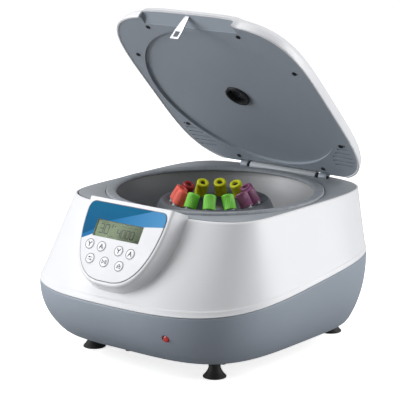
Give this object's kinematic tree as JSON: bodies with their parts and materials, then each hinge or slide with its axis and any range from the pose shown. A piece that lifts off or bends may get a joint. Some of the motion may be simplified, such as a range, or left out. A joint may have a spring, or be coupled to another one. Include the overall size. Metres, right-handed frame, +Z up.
{
  "type": "laboratory centrifuge",
  "caption": "Bench-top clinical centrifuge with domed hinged lid, round chamber, angled rotor holding capped tubes, sloping key panel and suction feet.",
  "frame": {"origin": "on the table under the middle of the machine's outer box, lid open", "axes": "+Z up; -Y towards the console (front); +X to the right seen from the front"},
  "size_m": [0.3802, 0.4065, 0.4588],
  "materials": {
    "housing_white": "fine satin grain",
    "housing_grey": "fine satin grain",
    "deck_grey": "satin",
    "liner_grey": "satin",
    "bowl_steel": "spun, fine circular brush marks",
    "seal_rubber": "matte",
    "foot_rubber": "matte",
    "zinc_steel": "bright zinc plate",
    "screw_steel": "blackened",
    "hinge_metal": "satin",
    "pin_steel": "ground",
    "rear_metal": "fine texture",
    "black_plastic": "satin",
    "rocker_black": "gloss",
    "rotor_plastic": "satin",
    "nut_aluminium": "knurled, satin",
    "tube_clear": "clear moulded",
    "cap_purple": "ribbed rubber-lined cap",
    "cap_yellow": "ribbed rubber-lined cap",
    "cap_coral": "ribbed rubber-lined cap",
    "cap_red": "ribbed rubber-lined cap",
    "cap_green": "ribbed rubber-lined cap",
    "overlay_film": "printed film, satin",
    "display_glass": "clear window",
    "display_lcd": "reflective display",
    "board_green": "circuit board",
    "key_film": "printed film, domed",
    "plug_red": "moulded",
    "lens_clear": "clear window"
  },
  "bodies": {
    "base": {"base_plate": "zinc_steel", "chamber_bowl": "bowl_steel", "chamber_gasket": "seal_rubber", "control_board": "board_green", "deck_panel": "deck_grey", "display_module": "display_lcd", "display_window": "display_glass", "fan_frame": "black_plastic", "foot_pads": "foot_rubber", "foot_screws": "screw_steel", "fuse_holder": "black_plastic", "hinge_block": "hinge_metal", "hinge_bracket": "zinc_steel", "hinge_pin": "pin_steel", "hinge_springs": "pin_steel", "latch_bracket": "zinc_steel", "latch_pin": "zinc_steel", "lower_shell": "housing_grey", "motor_dampers": "seal_rubber", "motor_housing": "rear_metal", "motor_plate": "zinc_steel", "motor_posts": "zinc_steel", "panel_overlay": "overlay_film", "plate_screws": "screw_steel", "power_board": "board_green", "power_inlet": "black_plastic", "rear_panel": "rear_metal", "shaft_boot": "seal_rubber", "solenoid_body": "zinc_steel", "switch_frame": "black_plastic", "upper_shell": "housing_white"},
    "lid": {"lid_shell": "housing_white", "lid_liner": "liner_grey", "lid_screws": "screw_steel", "sight_rim": "black_plastic", "sight_lens": "lens_clear", "lid_striker": "zinc_steel", "hinge_knuckles": "hinge_metal"},
    "rotor_assembly": {"motor_shaft": "zinc_steel", "rotor": "rotor_plastic", "rotor_nut": "nut_aluminium", "sample_tubes": "tube_clear", "caps_purple": "cap_purple", "caps_yellow": "cap_yellow", "caps_coral": "cap_coral", "caps_red": "cap_red", "caps_green": "cap_green"},
    "pawl": {"latch_pawl": "zinc_steel"},
    "plunger": {"solenoid_plunger": "zinc_steel"},
    "plug": {"release_plug": "plug_red"},
    "rocker": {"power_rocker": "rocker_black"},
    "fan": {"fan_rotor": "black_plastic"},
    "key_time_down": {"key_time_down": "key_film"},
    "key_time_up": {"key_time_up": "key_film"},
    "key_speed_down": {"key_speed_down": "key_film"},
    "key_speed_up": {"key_speed_up": "key_film"},
    "key_mode": {"key_mode": "key_film"},
    "key_start": {"key_start": "key_film"},
    "key_open": {"key_open": "key_film"}
  },
  "joints": [
    {"name": "lid_hinge", "type": "hinge", "parent": "base", "child": "lid", "pos_m": [0, 0.1869, 0.2105], "axis": [-1, 0, 0], "range_deg": [-46.2, 0]},
    {"name": "rotor_spin", "type": "hinge", "parent": "base", "child": "rotor_assembly", "pos_m": [0, 0.0293, 0.15], "axis": [0, 0, 1], "continuous": true},
    {"name": "latch_turn", "type": "hinge", "parent": "base", "child": "pawl", "pos_m": [0, -0.1278, 0.176], "axis": [1, 0, 0], "range_deg": [0, 14]},
    {"name": "solenoid_slide", "type": "slide", "parent": "base", "child": "plunger", "axis": [0, 0, -1], "range_m": [0, 0.003]},
    {"name": "release_pull", "type": "slide", "parent": "base", "child": "plug", "axis": [0, -1, 0], "range_m": [0, 0.012]},
    {"name": "mains_rocker", "type": "hinge", "parent": "base", "child": "rocker", "pos_m": [-0.013, 0.1831, 0.078], "axis": [1, 0, 0], "range_deg": [-14, 0]},
    {"name": "fan_spin", "type": "hinge", "parent": "base", "child": "fan", "pos_m": [0.052, 0.1765, 0.078], "axis": [0, 1, 0], "continuous": true},
    {"name": "key_time_down_press", "type": "slide", "parent": "base", "child": "key_time_down", "axis": [0, 0.8572, -0.515], "range_m": [0, 0.0004]},
    {"name": "key_time_up_press", "type": "slide", "parent": "base", "child": "key_time_up", "axis": [0, 0.8572, -0.515], "range_m": [0, 0.0004]},
    {"name": "key_speed_down_press", "type": "slide", "parent": "base", "child": "key_speed_down", "axis": [0, 0.8572, -0.515], "range_m": [0, 0.0004]},
    {"name": "key_speed_up_press", "type": "slide", "parent": "base", "child": "key_speed_up", "axis": [0, 0.8572, -0.515], "range_m": [0, 0.0004]},
    {"name": "key_mode_press", "type": "slide", "parent": "base", "child": "key_mode", "axis": [0, 0.8572, -0.515], "range_m": [0, 0.0004]},
    {"name": "key_start_press", "type": "slide", "parent": "base", "child": "key_start", "axis": [0, 0.8572, -0.515], "range_m": [0, 0.0004]},
    {"name": "key_open_press", "type": "slide", "parent": "base", "child": "key_open", "axis": [0, 0.8572, -0.515], "range_m": [0, 0.0004]}
  ],
  "couplings": [
    {"joint": "solenoid_slide", "follows": "latch_turn", "m_per_rad": 0.012}
  ]
}
